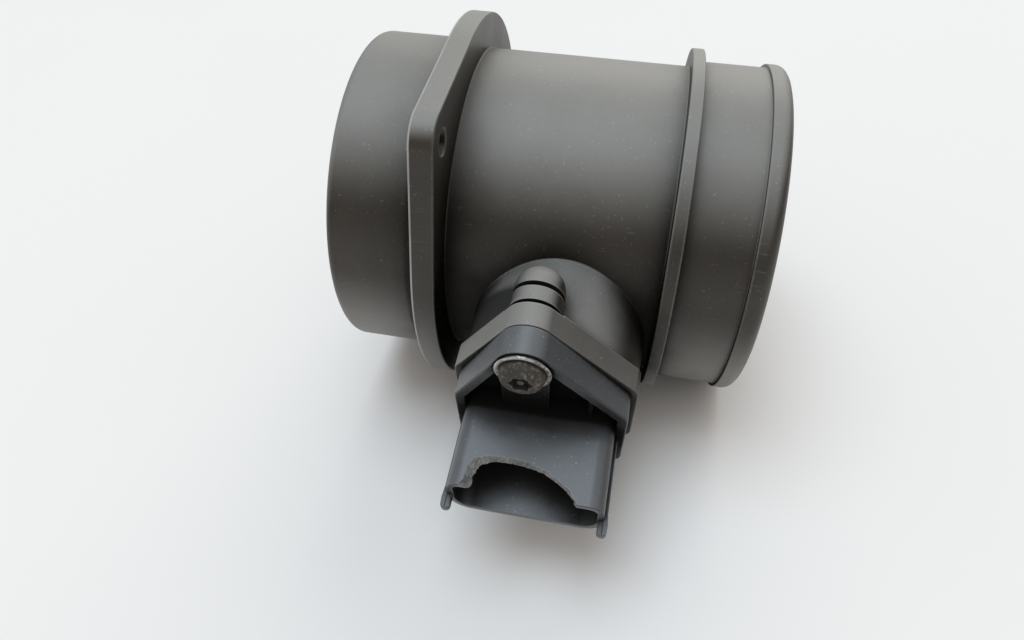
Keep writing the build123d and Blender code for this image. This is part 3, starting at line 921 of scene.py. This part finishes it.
def make_duct_plastic():
    """The plastic of the duct, with the heavier film of dust and painted sheen of the two, wear and a painted
    highlight along the flange rim, and a darker patch on the branch.
    """
    sheet, shader, place, _, painted_shade = moulded_plastic(
        "duct", (0.018, 0.0138, 0.0095), (0.236, 0.229, 0.214), 0.90, 0.38, (1.0, 0.95, 0.89)
    )
    axial = place.dot((1, 0, 0))
    height = place.dot(tuple(branch_direction))
    across = place.stretched(0, 1, 1)
    radius = sheet.node("ShaderNodeVectorMath", {"operation": "LENGTH"}, {0: across}, output=1)
    # Along the airbox-side edge of the flange: a pale line of wear together with a painted highlight of light
    # reflected from the floor.
    rim = axial.between(-0.1, 0.05) * (1 - axial.between(0.4, 0.6)) * radius.between(43.5, 44.5)
    pale_wear_and_highlight(shader, rim * (0.35 + 0.65 * cloud(place, 9.0, 5.0)), (0.46, 0.45, 0.43))
    # A darker patch on the left side of the branch, between the flange and the screw column, laid in black
    # with the painted shade.
    beside = axial.between(8, 13) * (1 - axial.between(23, 27.5))
    dark_patch = beside * height.between(38, 41) * (1 - height.between(49.5, 51.5))
    cover_with_black(sheet, shader, painted_shade.maths("MAXIMUM", painted_shade, dark_patch * 0.85))


def make_module_plastic():
    """The plastic of the module, with painted shade between the hood walls and on the shroud just below them.
    """
    # The pale film here is a cool grey: dust with a painted bluish reflection of the sky.
    sheet, shader, place, openness, painted_shade = moulded_plastic(
        "module", (0.015, 0.015, 0.015), (0.170, 0.174, 0.180), 0.62, 0.30, (0.96, 0.98, 1.0)
    )
    height = place.dot(tuple(branch_direction))
    # Painted shade: near-black in the hood cavity, and on the shroud where the hood shades it.
    deep = 1 - height.between(hood_top - 0.9, hood_top + 1.2)
    cavity_shade = (1 - openness).between(0.02, 0.16) * deep
    below_hood = (1 - height.between(66.5, 70.5) + 0.5 * (cloud(place, 5.0) - 0.5)).between(0.1, 0.9)
    darkened = below_hood * (1 - openness).between(0.02, 0.3) * 0.75
    painted_shade_total = painted_shade.maths("MAXIMUM", painted_shade + cavity_shade, darkened)
    cover_with_black(sheet, shader, painted_shade_total.maths("MINIMUM", painted_shade_total, 0.97))


def make_fracture():
    """The bare broken face of the plastic, pale and crumbly."""
    sheet, shader = new_finish("fracture")
    place = place_in_millimetres(sheet)
    crumb = cloud(place, 0.6, 5.0, 0.7)
    stain = cloud(place, 3.0)
    tone = crumb.between(0.3, 0.7).tint((0.11, 0.11, 0.105), (0.30, 0.295, 0.28))
    darkened = stain.between(0.48, 0.78).tint(tone, (0.08, 0.075, 0.068))
    connect(shader, Base_Color=darkened, Roughness=0.75 + 0.2 * crumb, Normal=relief(sheet, crumb, 0.25))


def make_screw_steel(name, low, high, soil, metal):
    """Plated steel under dirt: rubbed bright along its edges, speckled and stained, with painted shade where
    it is sheltered.
    """
    sheet, shader = new_finish(name)
    place = place_in_millimetres(sheet)
    stain = cloud(place, 1.1, 6.0, 0.65)
    fine = cloud(place, 0.25, 3.0, 0.7)
    chips = cloud(place, 0.42, 3.0, 0.6).between(0.60, 0.68)
    rubbed = (edge_share(sheet, 0.3) * 7.0 * (0.5 + stain)).between(0.1, 0.8)
    soiled = stain.between(soil - 0.12, soil + 0.10) * (1 - rubbed) * (1 - 0.75 * chips)
    steel = fine.tint(low, high)
    dirty = soiled.tint(steel, (0.050, 0.042, 0.033))
    # Painted shade: near-black where the steel is sheltered, in the recess and under the rim.
    open_share = shelter(sheet, 1.6)
    steel_in_painted_shade = ((1 - open_share) * 1.1).between(0.1, 0.9).tint(dirty, (0.012, 0.010, 0.009))
    connect(
        shader,
        Base_Color=steel_in_painted_shade,
        Metallic=metal - 0.6 * soiled,
        Roughness=0.30 + 0.35 * soiled + 0.1 * fine,
        Normal=relief(sheet, stain * 0.6 + fine * 0.4, 0.06),
    )


def plain_part(name, low, high, size, rough, metal=0.0, depth=0.02):
    """A small part in one material: a mottled colour with a fine uneven surface."""
    sheet, shader = new_finish(name)
    place = place_in_millimetres(sheet)
    mottle = cloud(place, size, 5.0, 0.6)
    fine = cloud(place, size / 6, 3.0, 0.7)
    connect(
        shader,
        Base_Color=mottle.between(0.3, 0.7).tint(low, high),
        Roughness=rough + 0.15 * (fine - 0.5),
        Metallic=metal,
        Normal=relief(sheet, fine, depth),
    )


def make_plain_parts():
    """Finishes of the inner parts, the grid, the ring and the seal."""
    # The recess finish is near-black: painted shade inside the screw recesses.
    plain_part("recess", (0.008, 0.007, 0.006), (0.018, 0.016, 0.014), 0.8, 0.6)
    plain_part("grid", (0.040, 0.040, 0.040), (0.060, 0.060, 0.058), 4.0, 0.45)
    plain_part("ring", (0.42, 0.41, 0.39), (0.58, 0.57, 0.55), 1.5, 0.32, 1.0)
    plain_part("seal", (0.016, 0.016, 0.017), (0.028, 0.028, 0.028), 2.0, 0.55)
    plain_part("plate", (0.60, 0.61, 0.62), (0.72, 0.72, 0.73), 1.5, 0.35, 1.0)
    plain_part("ceramic", (0.74, 0.74, 0.70), (0.84, 0.84, 0.81), 2.0, 0.5)
    plain_part("silicon", (0.07, 0.07, 0.10), (0.12, 0.12, 0.16), 1.0, 0.2)
    plain_part("resin", (0.022, 0.022, 0.022), (0.034, 0.034, 0.034), 1.0, 0.5)
    plain_part("terminal", (0.50, 0.48, 0.42), (0.66, 0.64, 0.58), 1.2, 0.3, 1.0)
    plain_part("bead", (0.07, 0.045, 0.03), (0.12, 0.08, 0.055), 0.8, 0.25)
    plain_part("wire", (0.52, 0.52, 0.52), (0.66, 0.66, 0.66), 0.6, 0.28, 1.0)


# ================================================================ stage
def make_camera():
    """The camera, which looks down on the connector from the front."""
    lens = bpy.data.cameras.new("camera")
    lens.sensor_width = 36
    lens.lens = camera_lens
    lens.clip_start = 0.01
    camera = bpy.data.objects.new("camera", lens)
    camera.location = Vector(camera_place) * MILLIMETRE
    camera.rotation_euler = Euler([radians(turn) for turn in camera_turn])
    bpy.context.collection.objects.link(camera)
    bpy.context.scene.camera = camera


def make_floor():
    """A pale floor, which touches the flange, the rib of the duct and the head of the lower screw."""
    def build(drawing):
        bmesh.ops.create_grid(drawing, x_segments=8, y_segments=8, size=floor_reach)
        tilt = Vector((0, 0, 1)).rotation_difference(resting_up).to_matrix().to_4x4()
        under = Matrix.Translation(-resting_depth * resting_up)
        bmesh.ops.transform(drawing, matrix=under @ tilt, verts=drawing.verts)
    floor = make_object("floor", build)
    if floor.data.polygons[0].normal.z < 0:
        floor.data.flip_normals()
    sheet, shader = new_finish("floor")
    place = place_in_millimetres(sheet)
    tone = cloud(place, 300.0, 2.0).between(0.3, 0.7).tint((0.880, 0.845, 0.820), (0.890, 0.855, 0.830))
    connect(shader, Base_Color=tone, Roughness=0.9)
    floor.data.materials.append(finishes["floor"])


def make_light():
    """Soft light from all round, with a cool window overhead and a warm one behind."""
    world = bpy.data.worlds.new("surrounding")
    world.use_nodes = True
    background = world.node_tree.nodes["Background"]
    background.inputs[0].default_value = (1.0, 0.99, 0.97, 1)
    background.inputs[1].default_value = surrounding_strength
    bpy.context.scene.world = world
    for name, direction, strength, spread, tone in windows:
        lamp = bpy.data.lights.new(name, "SUN")
        lamp.energy = strength
        lamp.angle = radians(spread)
        lamp.color = tone
        holder = bpy.data.objects.new(name, lamp)
        holder.rotation_euler = Vector(direction).to_track_quat("Z", "Y").to_euler()
        bpy.context.collection.objects.link(holder)
    bpy.context.scene.view_settings.view_transform = "Standard"


# ================================================================ the scene
finishes = {}
make_camera()
make_floor()
make_light()
make_finishes()

duct_shell = make_duct()
paint(duct_shell, "duct")
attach(duct_shell, "root")
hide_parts("duct_housing")

module_shell = make_module_shell()
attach(module_shell, "root")
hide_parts("module_housing")

module_finger = make_module_finger()
paint(module_finger, "module")
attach(module_finger, "root")
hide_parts("module_housing")

for index, (place_x, place_side) in enumerate(screw_places):
    screw = make_screw("screw_" + str(index + 1), place_x, place_side)
    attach(screw, "root")
    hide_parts("module_screw_" + str(index + 1))

node_finishes = {
    "inlet_grid": "grid",
    "grid_retaining_ring": "ring",
    "oring": "seal",
    "hybrid_cover": "module",
    "measuring_channel_cover": "module",
    "mounting_plate": "plate",
    "sensor_holder": "module",
    "sensor_element": "silicon",
    "hybrid_substrate": "ceramic",
    "evaluation_chip": "resin",
    "air_thermistor": "bead",
    "thermistor_lead_1": "wire",
    "thermistor_lead_2": "wire",
}
node_finishes.update({"terminal_" + str(number): "terminal" for number in range(1, terminal_count + 1)})
for node_name, finish_name in node_finishes.items():
    paint(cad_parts[node_name], finish_name)
